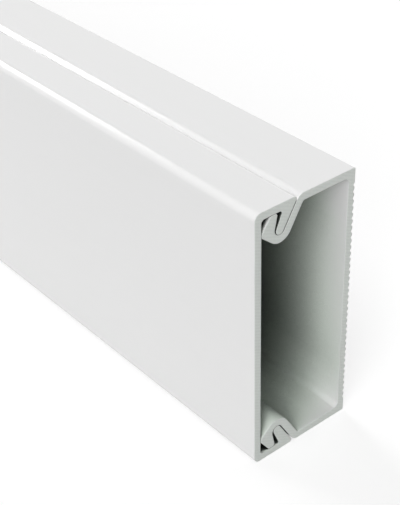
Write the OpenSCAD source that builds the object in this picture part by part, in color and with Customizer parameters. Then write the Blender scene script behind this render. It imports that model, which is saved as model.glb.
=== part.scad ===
// Mini cable trunking in white rigid PVC: a wall channel and its clip-on cover, both extruded.
// X runs along the bar, +Y points at the wall, and the bar stands on one narrow side, with Z up.
// The origin is at the middle of the bar's length and depth, on the side that it stands on.

/* [Trunking] */
// Length of the bar
bar_length = 2000; // [200:10:3000]
// Width of the cover's face, from one narrow side to the other
section_width = 40; // [30:1:100]
// Depth from the wall to the cover's face
section_depth = 17; // [14:0.5:40]

/* [Cover] */
// Thickness of the cover's face and sides
cover_wall = 1.1; // [0.9:0.05:1.5]
// Distance from the cover's face back to the seam between the cover and the base
seam_depth = 7.15; // [6.6:0.05:9]
// Outside radius of the cover's long edges
cover_edge_radius = 1; // [0.2:0.1:2]
// Fillet inside the cover's long edges
cover_fillet = 0.5; // [0.1:0.1:1]
// Rounding of the cover's edge at the seam
seam_radius = 0.4; // [0.1:0.05:0.5]

/* [Snap leg of the cover] */
// Lean of the seam, and of the leg's flank along it, from square to the narrow side, in degrees
leg_lean = 31; // [26:1:36]
// Difference in lean between the leg's two flanks, which thickens its root, in degrees
leg_taper = 8; // [2:1:12]
// Thickness of the leg at its round tip
leg_tip = 1.3; // [1:0.05:1.5]
// How deep the leg's tip lies below the narrow side's outer face
leg_drop = 4.4; // [4:0.05:5]
// Fillet at the leg's root
leg_fillet = 0.3; // [0.1:0.05:0.4]

/* [Base] */
// Thickness of the base's back and sides
base_wall = 1.1; // [0.8:0.05:1.6]
// Rounding of the base's outer bend at the seam
bend_radius = 1.5; // [0.4:0.1:1.6]
// Fillet inside the bend
bend_fillet = 0.5; // [0.1:0.1:1]
// Fillet where the sides meet the back
back_fillet = 0.8; // [0.2:0.1:2]
// Rounding of the back's outer edges
back_edge_radius = 0.2; // [0.05:0.05:0.6]

/* [Hooked lip of the base] */
// Thickness of the hook
hook_wall = 1.15; // [0.8:0.05:1.4]
// Clearance between the leg and the hook, along the seam
fit_clearance = 0.16; // [0.05:0.01:0.2]
// Gap left where the tips of the leg, the limb and the nose come closest to the other piece
tip_gap = 0.05; // [0.03:0.01:0.1]
// Extra room beside the leg's tip, which lets the leg snap in
slot_play = 0.15; // [0.05:0.05:0.3]
// Lean of the slot's free side, in degrees
limb_lean = 12; // [6:1:18]
// Width of the hook's free limb at its tip, under the cover's side
limb_tip = 1.15; // [0.8:0.05:1.5]
// Slope of the hook's ramp, up to the nose behind the cover's face, in degrees
ramp_slope = 40; // [34:1:46]
// Width of the flat nose behind the cover's face
nose_width = 0.5; // [0.3:0.05:0.8]
// Rounding of the nose
nose_radius = 0.4; // [0.1:0.05:0.6]
// Rounding of the free limb's tip
limb_radius = 0.35; // [0.1:0.05:0.5]

/* [Serrated back] */
// Distance between neighbouring grooves
groove_pitch = 1; // [0.8:0.1:3]
// Width of each groove at the surface
groove_width = 0.7; // [0.3:0.05:0.75]
// Depth of each groove
groove_depth = 0.25; // [0.1:0.05:0.4]
// Plain strip along each edge of the back
groove_margin = 2; // [1:0.5:6]

/* [Hidden] */
white_pvc = [0.91, 0.92, 0.91];

// Largest angle that one flat of a round stretch turns through
arc_step = 9;

// The lips are drawn as [depth from the cover's face, depth below the narrow side's outer face].
// The hook's slot takes the leg's tip, and its round bottom is one tip gap below the leg.
slot_width = leg_tip + 2 * fit_clearance + slot_play;
slot_radius = slot_width / 2;
slot_drop = leg_drop + tip_gap - slot_radius;
slot_centre = [seam_at(slot_drop, fit_clearance - slot_radius), slot_drop];
hook_radius = slot_radius + hook_wall;

tip_radius = leg_tip / 2;
tip_drop = leg_drop - tip_radius;
tip_centre = [seam_at(tip_drop, -tip_radius), tip_drop];
inner_lean = leg_lean - leg_taper;

// The hook's nose and the tip of its free limb stop one tip gap short of the cover.
nose_depth = cover_wall + tip_gap;
nose_rise = (nose_depth - slot_centre.x) * sin(ramp_slope);
nose_drop = slot_drop + (hook_radius + nose_rise) / cos(ramp_slope);
limb_drop = cover_wall + tip_gap;
limb_depth = flank_at(slot_centre, slot_radius, limb_lean, limb_drop);

groove_count = floor((section_width - 2 * groove_margin) / groove_pitch);
groove_first = section_width / 2 + (groove_count - 1) / 2 * groove_pitch;

// Depth of a line along the seam, off it by a distance towards the base, at a drop below the side
function seam_at(drop, off) = seam_depth - drop * tan(leg_lean) + off / cos(leg_lean);

// Depth of the line that leans past a circle on the cover's side of it, at a drop below the side
function flank_at(centre, radius, lean, drop) =
    centre.x + (centre.y - drop) * tan(lean) - radius / cos(lean);

// Points of an arc, as corners that need no rounding
function arc(centre, radius, from, to) =
    let (steps = ceil(abs(to - from) / arc_step))
    [for (i = [0:steps])
        let (angle = from + (to - from) * i / steps)
        [centre.x + radius * cos(angle), centre.y + radius * sin(angle), 0]];

function flat(corner) = [corner.x, corner.y];
function unit(v) = v / norm(v);

// Points that round one corner [x, y, radius] between its neighbours; its shorter side limits the radius
function rounded_corner(before, corner, after) =
    let (
        back = flat(before) - flat(corner),
        ahead = flat(after) - flat(corner),
        half = acos(unit(back) * unit(ahead)) / 2,
        room = min(norm(back), norm(ahead)) / 2,
        radius = min(corner[2], room * tan(half)),
        centre = flat(corner) + unit(unit(back) + unit(ahead)) * radius / sin(half),
        start = flat(corner) + unit(back) * radius / tan(half) - centre,
        turn = -sign(cross(back, ahead)) * (180 - 2 * half),
        from = atan2(start.y, start.x)
    )
    [for (point = arc(centre, radius, from, from + turn)) flat(point)];

// An outline with all its corners rounded
function rounded(corners) =
    let (count = len(corners))
    [for (i = [0:count - 1])
        let (corner = corners[i])
        each corner[2] == 0
            ? [flat(corner)]
            : rounded_corner(corners[(i + count - 1) % count], corner, corners[(i + 1) % count])];

// The same lip on the upper and on the lower narrow side, the lower one run backwards
function upper(lip) = [for (corner = lip) [corner.x, section_width - corner.y, corner[2]]];
function lower(lip) = [for (i = [len(lip) - 1:-1:0]) lip[i]];

// One side of the cover: inside corner, leg with its round tip, seam, outside edge
cover_lip = concat(
    [
        [cover_wall, cover_wall, cover_fillet],
        [flank_at(tip_centre, tip_radius, inner_lean, cover_wall), cover_wall, leg_fillet]
    ],
    arc(tip_centre, tip_radius, 180 + inner_lean, leg_lean),
    [
        [seam_depth, 0, seam_radius],
        [0, 0, cover_edge_radius]
    ]
);

// One side of the base: inside corner, bend, hook, ramp, nose, free limb, slot, seam, outside corner
base_lip = concat(
    [
        [section_depth - base_wall, base_wall, back_fillet],
        [seam_at(base_wall, fit_clearance + hook_wall), base_wall, bend_fillet]
    ],
    arc(slot_centre, hook_radius, leg_lean, 90 + ramp_slope),
    [
        [nose_depth, nose_drop, nose_radius],
        [nose_depth, nose_drop - nose_width, nose_radius],
        [limb_depth - limb_tip, limb_drop, limb_radius],
        [limb_depth, limb_drop, limb_radius]
    ],
    arc(slot_centre, slot_radius, 180 + limb_lean, leg_lean),
    [
        [seam_at(0, fit_clearance), 0, bend_radius],
        [section_depth, 0, back_edge_radius]
    ]
);

// V-grooves down the back, from the upper edge to the lower one
back_grooves = [
    for (i = [0:groove_count - 1])
        let (height = groove_first - i * groove_pitch)
        each [
            [section_depth, height + groove_width / 2, 0],
            [section_depth - groove_depth, height, 0],
            [section_depth, height - groove_width / 2, 0]
        ]
];

// A section drawn in depth and height, extruded along the bar
module extrusion(section) {
    translate([0, -section_depth / 2, 0])
        rotate([90, 0, 90])
            linear_extrude(bar_length, center = true)
                polygon(rounded(section));
}

module base() {
    color(white_pvc)
        extrusion(concat(upper(base_lip), back_grooves, lower(base_lip)));
}

module cover() {
    color(white_pvc)
        extrusion(concat(upper(cover_lip), lower(cover_lip)));
}

base();
cover();
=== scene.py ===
import math

import bpy
from mathutils import Matrix, Vector

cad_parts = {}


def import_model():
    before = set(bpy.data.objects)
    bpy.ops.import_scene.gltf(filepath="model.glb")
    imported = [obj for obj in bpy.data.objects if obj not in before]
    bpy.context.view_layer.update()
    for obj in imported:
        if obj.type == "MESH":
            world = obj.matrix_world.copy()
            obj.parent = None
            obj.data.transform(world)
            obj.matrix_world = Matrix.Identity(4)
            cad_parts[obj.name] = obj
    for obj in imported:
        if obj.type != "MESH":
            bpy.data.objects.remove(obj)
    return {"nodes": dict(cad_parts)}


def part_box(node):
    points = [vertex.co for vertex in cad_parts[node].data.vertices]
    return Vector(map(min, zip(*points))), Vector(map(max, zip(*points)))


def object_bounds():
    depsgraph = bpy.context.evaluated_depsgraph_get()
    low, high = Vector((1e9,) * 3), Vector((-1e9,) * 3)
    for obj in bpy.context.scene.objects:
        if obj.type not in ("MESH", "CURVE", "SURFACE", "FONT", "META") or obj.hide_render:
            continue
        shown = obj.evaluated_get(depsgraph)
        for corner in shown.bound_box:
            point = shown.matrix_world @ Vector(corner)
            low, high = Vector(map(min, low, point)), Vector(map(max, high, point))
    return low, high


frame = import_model()
cad_low, cad_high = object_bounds()
seam_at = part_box("cover")[1].y

MM = 0.001
RISING = (0.0, 1.0)
FALLING = (1.0, 0.0)

# The camera, as the photograph was taken: its turn, tilt and roll in degrees, and its lens in millimetres
CAMERA_AZIMUTH = 51.05
CAMERA_ELEVATION = 34.17
CAMERA_ROLL = -1.73
CAMERA_LENS = 86.54
# Length of the picture's long side on the sensor, in millimetres
CAMERA_SENSOR = 36.0
# Where the camera stands, from the near end's lower front corner
CAMERA_FROM_CORNER = Vector((89.63, -80.87, 116.91)) * MM
CAMERA_CLIP_START = 0.005
CAMERA_CLIP_END = 100.0

# Studio lamps: the way round and the height that each one shines from and how wide it looks, in degrees, and
# its strength on a face square to it. The way round starts at the near end and passes the wall side.
LAMPS = {
    "key": (302.0, 22.0, 36.0, 0.545),
    "front": (262.0, 10.0, 30.0, 0.105),
    "high": (288.0, 60.0, 30.0, 0.275),
    "near_top": (25.0, 60.0, 30.0, 0.085),
    "wall_side": (95.0, 25.0, 30.0, 0.40),
    "strip_front": (195.0, 31.0, 18.0, 0.19),
    "strip_back": (172.0, 33.0, 18.0, 0.30),
}

WHITE = (1.0, 1.0, 1.0, 1.0)
FLOOR_SIZE = 30.0
FLOOR_COLOUR = (0.45, 0.45, 0.45, 1.0)
# What the floor adds to the light that it reflects, where it is seen
FLOOR_GLOW = 0.60

# How far each piece's texture is moved on from that of the piece before it
TEXTURE_STEP = Vector((0.0, 0.31, 0.17))
PVC_IOR = 1.5
# Height of a relief of 1
RELIEF_HEIGHT = 0.006 * MM

# The extruded skin. Grains are counted to the metre, along the bar and across it.
SKIN_LIGHT = (0.822, 0.822, 0.821, 1.0)
SKIN_DARK = (0.810, 0.810, 0.808, 1.0)
SKIN_ROUGHNESS = (0.17, 0.24)
CLOUD_GRAINS = (9.0, 45.0, 45.0)
LINE_GRAINS = (2.5, 900.0, 900.0)
PEEL_GRAINS = (1500.0, 2600.0, 2600.0)
# Share of the clouds in the tone; the die lines have the rest
CLOUD_SHARE = 0.6
# Stretches of the noise that take up the whole change of tone and of roughness
SKIN_TONE_SPREAD = (0.3, 0.7)
SKIN_GLOSS_SPREAD = (0.6, 1.4)
LINE_RELIEF = 0.05
PEEL_RELIEF = 0.12

# The sawn ends
CUT_LIGHT = (0.830, 0.870, 0.830, 1.0)
CUT_DARK = (0.790, 0.830, 0.790, 1.0)
CUT_ROUGHNESS = (0.62, 0.48)
TORN_GRAINS = (2200.0, 2200.0, 2200.0)
BLADE_CENTRE = (0.0, -0.09, -0.16)
ARC_SCALE = 700.0
# Share of the blade's arcs in the pattern; the torn grain has the rest
ARC_SHARE = 0.5
CUT_TONE_SPREAD = (0.25, 0.75)
CUT_GLOSS_SPREAD = (0.2, 0.8)
CUT_RELIEF = 1.6
# How squarely a face looks along the bar, from all skin to all cut
CUT_FACING = (0.6, 0.9)

# The edges: the radius that the shading rounds them by, how well the rounded normal agrees with the face's
# where they are plain and where they are worn, and the share of the pale colour where they are worn
PALE_EDGE = (0.860, 0.880, 0.860, 1.0)
EDGE_RADIUS = 0.18 * MM
EDGE_SAMPLES = 8
EDGE_AGREEMENT = (0.98, 0.80)
EDGE_SHARE = 0.4

# The rims of the seam, painted lighter to lift the shade that the cover's edge casts in the groove: how far
# they reach from it along the narrow side, and below that side
SEAM_PAINTED_LIGHT = (0.880, 0.880, 0.878, 1.0)
RIM_WIDTH = (0.35 * MM, 0.55 * MM)
RIM_DEPTH = (0.60 * MM, 0.75 * MM)

# The inside, where shade is painted: how deep below the outer faces it starts, and how far in from the ends
# the painted shade reaches
INSIDE_SHADE_TINT = (0.915, 1.000, 0.915, 1.0)
INSIDE_PAINTED_SHADE = (0.024, 0.033, 0.026, 1.0)
INSIDE_ROUGHNESS = 0.5
INSIDE_DEPTH = (0.94 * MM, 1.06 * MM)
PAINTED_SHADE_LENGTH = (25.0 * MM, 60.0 * MM)
# The way that each piece's hollow side faces, along Y, and how far off something still shades it
HOLLOW_SIDE = {"base": -1.0, "cover": 1.0}
HOLLOW_REACH = 30.0 * MM
LIGHT_SAMPLES = 16
# How open a bare hollow is, by a spot's depth below a narrow side, and the share of that which the lips
# leave, by how far the spot lies from the middle of the bar's depth towards the piece's own wall
CORNER_DEPTH = (1.1 * MM, 8.5 * MM)
CORNER_OPEN = (0.44, 0.86)
WALL_PLACE = (1.0 * MM, 8.0 * MM)
LIP_OPEN = (0.38, 1.0)
# How open a spot is where it takes all of a tone and where it takes none, for the painted shade tint and the
# painted shade
SHADE_TINT_OPEN = (0.40, 0.66)
PAINTED_SHADE_OPEN = (0.074, 0.470)

# Painted shade in each narrow gap between the lips: how far off something still shades it, and how open a
# spot is where it is painted dark and where it is plain
GAP_PAINTED_SHADE = (0.012, 0.014, 0.012, 1.0)
GAP_REACH = 1.4 * MM
GAP_OPEN = (0.30, 0.50)


def camera():
    """The photograph's camera, with its roll."""
    azimuth, elevation, roll = (math.radians(a) for a in (CAMERA_AZIMUTH, CAMERA_ELEVATION, CAMERA_ROLL))
    forward = Vector((
        -math.sin(azimuth) * math.cos(elevation),
        math.cos(azimuth) * math.cos(elevation),
        -math.sin(elevation),
    ))
    level = Vector((math.cos(azimuth), math.sin(azimuth), 0.0))
    upright = level.cross(forward)
    right = level * math.cos(roll) + upright * math.sin(roll)
    up = right.cross(forward)
    corner = Vector((cad_high.x, cad_low.y, cad_low.z))
    data = bpy.data.cameras.new("camera")
    data.sensor_width = CAMERA_SENSOR
    data.lens = CAMERA_LENS
    data.clip_start = CAMERA_CLIP_START
    data.clip_end = CAMERA_CLIP_END
    made = bpy.data.objects.new("camera", data)
    turned = Matrix((right, up, -forward)).transposed().to_4x4()
    made.matrix_world = Matrix.Translation(corner + CAMERA_FROM_CORNER) @ turned
    bpy.context.scene.collection.objects.link(made)
    bpy.context.scene.camera = made


def lamps():
    """Wide, distant lamps, so that the whole bar is lit alike."""
    for name, (way, rise, width, strength) in LAMPS.items():
        way, rise = math.radians(way), math.radians(rise)
        source = Vector((math.cos(way) * math.cos(rise), math.sin(way) * math.cos(rise), math.sin(rise)))
        data = bpy.data.lights.new(name, "SUN")
        data.angle = math.radians(width)
        data.energy = strength * math.pi
        lamp = bpy.data.objects.new(name, data)
        lamp.rotation_mode = "QUATERNION"
        lamp.rotation_quaternion = source.to_track_quat("Z", "Y")
        bpy.context.scene.collection.objects.link(lamp)


def new_tree(owner):
    """An empty node tree for a material or the world."""
    owner.use_nodes = True
    owner.node_tree.nodes.clear()
    return owner.node_tree


def add(tree, kind, sockets=None, **settings):
    """A new shader node, with its settings, and with its inputs set to values or joined to other nodes."""
    made = tree.nodes.new("ShaderNode" + kind)
    for name, value in settings.items():
        setattr(made, name, value)
    for name, value in (sockets or {}).items():
        if isinstance(value, bpy.types.NodeSocket):
            tree.links.new(value, made.inputs[name])
        else:
            made.inputs[name].default_value = value
    return made


def maths(tree, operation, first, second=0.0):
    """One sum on numbers."""
    return add(tree, "Math", {0: first, 1: second}, operation=operation).outputs[0]


def product(tree, first, *others):
    """Numbers multiplied together."""
    for other in others:
        first = maths(tree, "MULTIPLY", first, other)
    return first


def vectors(tree, operation, first, second):
    """One sum on vectors, with its vector and its number."""
    return add(tree, "VectorMath", {0: first, 1: second}, operation=operation).outputs


def ranged(tree, value, spread, to_spread):
    """A value moved from one range to another, and held at the ends."""
    low, high = spread
    to_low, to_high = to_spread
    sockets = {"Value": value, "From Min": low, "From Max": high, "To Min": to_low, "To Max": to_high}
    return add(tree, "MapRange", sockets).outputs[0]


def mixed(tree, share, first, second, blend_type="MIX"):
    """One colour passing into another, or multiplied by it."""
    sockets = {0: share, 6: first, 7: second}
    return add(tree, "Mix", sockets, data_type="RGBA", blend_type=blend_type).outputs[2]


def blended(tree, share, first, second):
    """One number passing into another."""
    return add(tree, "Mix", {0: share, 2: first, 3: second}, data_type="FLOAT").outputs[0]


def shown_ray(tree):
    """1 for rays from the camera, or seen in gloss or glass, and 0 for rays that light the object."""
    path = add(tree, "LightPath").outputs
    seen = maths(tree, "MAXIMUM", path["Is Camera Ray"], path["Is Glossy Ray"])
    return maths(tree, "MAXIMUM", seen, path["Is Transmission Ray"])


def world():
    """A surround that is white where it is seen, also in reflections, and gives no other light."""
    made = bpy.data.worlds.new("studio")
    bpy.context.scene.world = made
    tree = new_tree(made)
    background = add(tree, "Background", {"Color": WHITE, "Strength": shown_ray(tree)})
    add(tree, "OutputWorld", {"Surface": background.outputs[0]})


def floor():
    """A plain floor that is white where it is seen in the light, and keeps the bar's shadow."""
    half = FLOOR_SIZE / 2
    mesh = bpy.data.meshes.new("floor")
    corners = [(-half, -half, 0.0), (half, -half, 0.0), (half, half, 0.0), (-half, half, 0.0)]
    mesh.from_pydata(corners, [], [(0, 1, 2, 3)])
    plane = bpy.data.objects.new("floor", mesh)
    bpy.context.scene.collection.objects.link(plane)
    paint = bpy.data.materials.new("floor_white")
    tree = new_tree(paint)
    matt = add(tree, "BsdfDiffuse", {"Color": FLOOR_COLOUR})
    glow = add(tree, "Emission", {"Strength": product(tree, shown_ray(tree), FLOOR_GLOW)})
    both = add(tree, "AddShader", {0: matt.outputs[0], 1: glow.outputs[0]})
    add(tree, "OutputMaterial", {"Surface": both.outputs[0]})
    mesh.materials.append(paint)


def noise(tree, place, grains, detail, roughness):
    """Noise from 0 to 1, with that many grains to the metre each way."""
    scaled = vectors(tree, "MULTIPLY", place, grains)[0]
    sockets = {"Vector": scaled, "Scale": 1.0, "Detail": detail, "Roughness": roughness}
    return add(tree, "TexNoise", sockets).outputs[0]


def depth_between(tree, place, low, high):
    """How far a place lies in from the nearer of two outer faces."""
    from_low = maths(tree, "SUBTRACT", place, low)
    return maths(tree, "MINIMUM", from_low, maths(tree, "SUBTRACT", high, place))


def skin(tree, place):
    """Colour, roughness and relief of the skin: soft clouds, die lines along the bar and a fine peel."""
    clouds = noise(tree, place, CLOUD_GRAINS, detail=3.0, roughness=0.5)
    lines = noise(tree, place, LINE_GRAINS, detail=3.0, roughness=0.5)
    peel = noise(tree, place, PEEL_GRAINS, detail=2.0, roughness=0.5)
    tone = blended(tree, CLOUD_SHARE, lines, clouds)
    colour = mixed(tree, ranged(tree, tone, SKIN_TONE_SPREAD, RISING), SKIN_LIGHT, SKIN_DARK)
    roughness = ranged(tree, maths(tree, "ADD", lines, clouds), SKIN_GLOSS_SPREAD, SKIN_ROUGHNESS)
    relief = maths(tree, "ADD", product(tree, lines, LINE_RELIEF), product(tree, peel, PEEL_RELIEF))
    return colour, roughness, relief


def sawn_end(tree, spot, place):
    """Colour, roughness and relief of a sawn end: the blade's shallow arcs, and a torn grain with them."""
    from_blade = vectors(tree, "SUBTRACT", spot, BLADE_CENTRE)[0]
    rings = {"Vector": from_blade, "Scale": ARC_SCALE, "Distortion": 2.0, "Detail": 2.0, "Detail Scale": 1.5}
    arcs = add(tree, "TexWave", rings, wave_type="RINGS", rings_direction="X").outputs[1]
    grain = noise(tree, place, TORN_GRAINS, detail=4.0, roughness=0.6)
    sawn = blended(tree, ARC_SHARE, grain, arcs)
    colour = mixed(tree, ranged(tree, sawn, CUT_TONE_SPREAD, RISING), CUT_DARK, CUT_LIGHT)
    roughness = ranged(tree, sawn, CUT_GLOSS_SPREAD, CUT_ROUGHNESS)
    return colour, roughness, product(tree, sawn, CUT_RELIEF)


def broken_edges(tree):
    """The normal that rounds the edges a little, and how worn each spot is."""
    rounded = add(tree, "Bevel", {"Radius": EDGE_RADIUS}, samples=EDGE_SAMPLES).outputs[0]
    face = add(tree, "NewGeometry").outputs["True Normal"]
    agreement = vectors(tree, "DOT_PRODUCT", rounded, face)["Value"]
    return rounded, ranged(tree, agreement, EDGE_AGREEMENT, RISING)


def seam_painted_light(tree, across, under_sides):
    """How far each spot belongs to the rims of the seam, where light is painted."""
    off_seam = maths(tree, "ABSOLUTE", maths(tree, "SUBTRACT", across, seam_at))
    beside = ranged(tree, off_seam, RIM_WIDTH, FALLING)
    return product(tree, beside, ranged(tree, under_sides, RIM_DEPTH, FALLING))


def hollow(tree, across, under_sides, hollow_side):
    """How uncovered each spot of the hollow is, and that share again with the lips' own shade taken out,
    which set where the inside's shade is painted.
    """
    towards = add(tree, "CombineXYZ", {1: hollow_side}).outputs[0]
    sockets = {"Distance": HOLLOW_REACH, "Normal": towards}
    seen = add(tree, "AmbientOcclusion", sockets, samples=LIGHT_SAMPLES).outputs["AO"]
    uncovered = maths(tree, "DIVIDE", seen, ranged(tree, under_sides, CORNER_DEPTH, CORNER_OPEN))
    from_middle = product(tree, across, -hollow_side)
    lit = maths(tree, "DIVIDE", uncovered, ranged(tree, from_middle, WALL_PLACE, LIP_OPEN))
    return uncovered, lit


def gap_shade(tree, under):
    """How far each spot lies in a narrow gap between the lips, below the seam's rims, where shade is
    painted.
    """
    seen = add(tree, "AmbientOcclusion", {"Distance": GAP_REACH}, samples=LIGHT_SAMPLES).outputs["AO"]
    below = ranged(tree, under, RIM_DEPTH, RISING)
    return product(tree, below, ranged(tree, seen, GAP_OPEN, FALLING))


def white_pvc(name, offset, hollow_side):
    """White rigid PVC: a satin skin, matt sawn ends, paler edges, painted light on the seam's rims, and
    painted shade in each narrow gap between the lips and in the covered inside by the ends.
    """
    paint = bpy.data.materials.new(name)
    tree = new_tree(paint)
    coords = add(tree, "TexCoord").outputs
    spot = coords["Object"]
    place = vectors(tree, "ADD", spot, offset)[0]
    along, across, height = add(tree, "SeparateXYZ", {0: spot}).outputs
    under_sides = depth_between(tree, height, cad_low.z, cad_high.z)
    under = maths(tree, "MINIMUM", depth_between(tree, across, cad_low.y, cad_high.y), under_sides)
    inside = ranged(tree, under, INSIDE_DEPTH, RISING)
    facing = add(tree, "SeparateXYZ", {0: coords["Normal"]}).outputs[0]
    cut = ranged(tree, maths(tree, "ABSOLUTE", facing), CUT_FACING, RISING)

    skin_colour, skin_roughness, skin_relief = skin(tree, place)
    cut_colour, cut_roughness, cut_relief = sawn_end(tree, spot, place)
    rounded, worn = broken_edges(tree)

    # Painted shade: the inside grows greener and then darker in from each end where it is covered, and is
    # plain again further in
    near_end = ranged(tree, depth_between(tree, along, cad_low.x, cad_high.x), PAINTED_SHADE_LENGTH, FALLING)
    shade_zone = product(tree, inside, near_end)
    uncovered, lit = hollow(tree, across, under_sides, hollow_side)
    shade_tint = product(tree, shade_zone, ranged(tree, uncovered, SHADE_TINT_OPEN, FALLING))
    painted_shade = product(tree, shade_zone, ranged(tree, lit, PAINTED_SHADE_OPEN, FALLING))

    # Painted light on the seam's rims, lifting the shade that the cover's edge casts in the groove
    colour = mixed(tree, seam_painted_light(tree, across, under_sides), skin_colour, SEAM_PAINTED_LIGHT)
    # A painted shade tint on the covered inside
    colour = mixed(tree, shade_tint, colour, INSIDE_SHADE_TINT, blend_type="MULTIPLY")
    colour = mixed(tree, cut, colour, cut_colour)
    colour = mixed(tree, product(tree, worn, EDGE_SHARE), colour, PALE_EDGE)
    # Painted shade further into the covered inside
    colour = mixed(tree, painted_shade, colour, INSIDE_PAINTED_SHADE)
    # Painted shade in each narrow gap between the lips, by the ends
    colour = mixed(tree, product(tree, gap_shade(tree, under), near_end), colour, GAP_PAINTED_SHADE)
    uncut_roughness = blended(tree, inside, skin_roughness, INSIDE_ROUGHNESS)
    relief = blended(tree, cut, skin_relief, cut_relief)
    raised = {"Strength": 1.0, "Distance": RELIEF_HEIGHT, "Height": relief, "Normal": rounded}
    bump = add(tree, "Bump", raised)
    shader = add(tree, "BsdfPrincipled", {
        "Base Color": colour,
        "Roughness": blended(tree, cut, uncut_roughness, cut_roughness),
        "Normal": bump.outputs[0],
        "IOR": PVC_IOR,
    })
    add(tree, "OutputMaterial", {"Surface": shader.outputs[0]})
    return paint


bpy.context.scene.view_settings.view_transform = "Standard"
camera()
lamps()
world()
floor()
for count, (node_name, node) in enumerate(sorted(frame["nodes"].items())):
    paint = white_pvc("white_pvc_" + node_name, TEXTURE_STEP * count, HOLLOW_SIDE[node_name])
    for slot in node.material_slots:
        slot.material = paint
